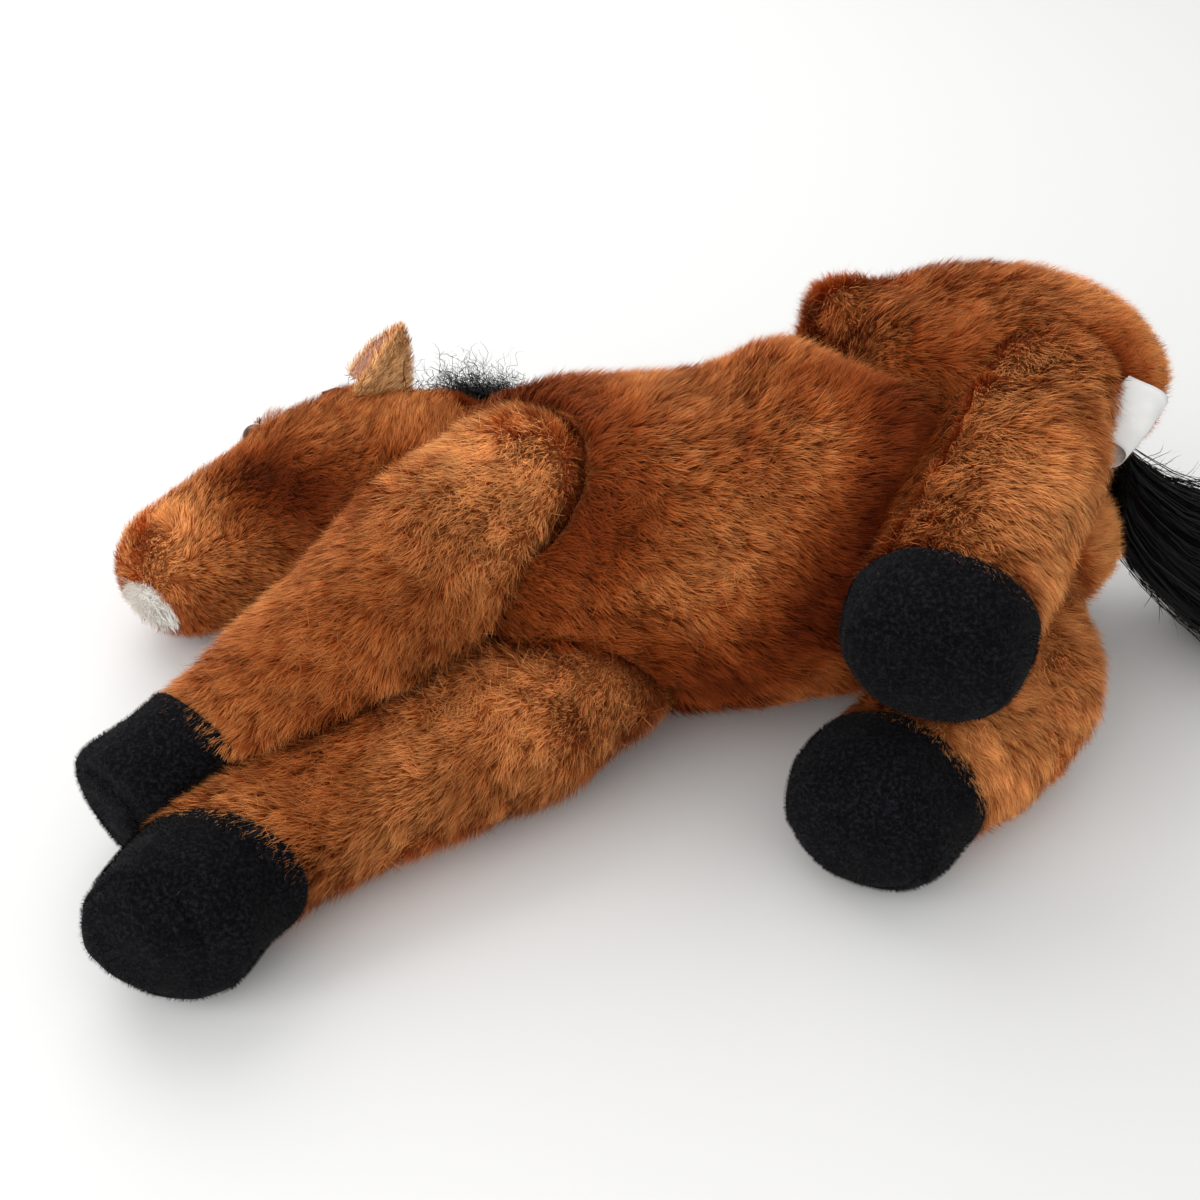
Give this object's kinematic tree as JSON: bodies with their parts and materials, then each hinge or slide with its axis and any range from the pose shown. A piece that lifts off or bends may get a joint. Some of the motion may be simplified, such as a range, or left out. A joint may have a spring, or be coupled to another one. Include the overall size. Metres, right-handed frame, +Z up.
{
  "type": "plush horse",
  "caption": "Floppy stuffed plush horse lying on its side, with jointed soft legs, neck, ears and tail, black velour hooves and a hair tail.",
  "frame": {"origin": "on the floor, on the flat where the torso lies, midway along the torso", "axes": "+X from the muzzle towards the tail, +Y from the belly towards the back, +Z up, through the horse's left side"},
  "size_m": [0.629, 0.3534, 0.1733],
  "materials": {
    "plush": "chestnut brown plush, pile 8 to 10 mm long",
    "stuffing": "loose white polyester fibre",
    "hoof": "short black velour",
    "patch": "white plush, short pile",
    "lining": "pinkish brown short plush",
    "hair": "long glossy black synthetic hair",
    "eye": "polished dark brown",
    "washer": "natural white, moulded",
    "label": "white satin ribbon, bare"
  },
  "bodies": {
    "torso": {"torso_skin": "plush", "torso_stuffing": "stuffing", "label": "label"},
    "head": {"neck_skin": "plush", "neck_stuffing": "stuffing", "head_skin": "plush", "head_stuffing": "stuffing", "muzzle_patch": "patch", "eye_left": "eye", "eye_right": "eye", "eye_washer_left": "washer", "eye_washer_right": "washer", "mane": "hair", "forelock": "hair"},
    "ear_left": {"ear_left": "plush", "ear_left_lining": "lining"},
    "ear_right": {"ear_right": "plush", "ear_right_lining": "lining"},
    "tail": {"tail": "hair"},
    "front_left_leg": {"front_left_leg_skin": "plush", "front_left_leg_stuffing": "stuffing", "front_left_hoof_wall": "hoof", "front_left_hoof_sole": "hoof"},
    "front_right_leg": {"front_right_leg_skin": "plush", "front_right_leg_stuffing": "stuffing", "front_right_hoof_wall": "hoof", "front_right_hoof_sole": "hoof"},
    "hind_left_leg": {"hind_left_leg_skin": "plush", "hind_left_leg_stuffing": "stuffing", "hind_left_hoof_wall": "hoof", "hind_left_hoof_sole": "hoof"},
    "hind_right_leg": {"hind_right_leg_skin": "plush", "hind_right_leg_stuffing": "stuffing", "hind_right_hoof_wall": "hoof", "hind_right_hoof_sole": "hoof"}
  },
  "joints": [
    {"name": "neck_turn", "type": "hinge", "parent": "torso", "child": "head", "pos_m": [-0.1035, 0.051, 0.0592], "axis": [0, 0, 1], "range_deg": [-25, 6]},
    {"name": "ear_left_bend", "type": "hinge", "parent": "head", "child": "ear_left", "pos_m": [-0.15708, 0.11152, 0.08548], "axis": [0.5601, -0.6917, -0.456], "range_deg": [-6, 18], "stiffness_Nm_per_rad": 0.02},
    {"name": "ear_right_bend", "type": "hinge", "parent": "head", "child": "ear_right", "pos_m": [-0.1812, 0.13538, 0.02122], "axis": [0.1199, -0.148, 0.9817], "range_deg": [-6, 18], "stiffness_Nm_per_rad": 0.02},
    {"name": "tail_swing", "type": "hinge", "parent": "torso", "child": "tail", "pos_m": [0.1875, 0.054, 0.07104], "axis": [0, 0, 1], "range_deg": [-8, 35]},
    {"name": "front_left_leg_lift", "type": "hinge", "parent": "torso", "child": "front_left_leg", "pos_m": [-0.09, -0.0225, 0.1184], "axis": [-0.515, 0.8572, 0], "range_deg": [0, 45]},
    {"name": "front_right_leg_swing", "type": "hinge", "parent": "torso", "child": "front_right_leg", "pos_m": [-0.057, -0.054, 0.0403], "axis": [0, 0, 1], "range_deg": [0, 35]},
    {"name": "hind_left_leg_lift", "type": "hinge", "parent": "torso", "child": "hind_left_leg", "pos_m": [0.1245, 0.015, 0.13468], "axis": [-0.8829, 0.4695, 0], "range_deg": [0, 40]},
    {"name": "hind_right_leg_swing", "type": "hinge", "parent": "torso", "child": "hind_right_leg", "pos_m": [0.129, -0.009, 0.03758], "axis": [0, 0, 1], "range_deg": [0, 30]}
  ]
}
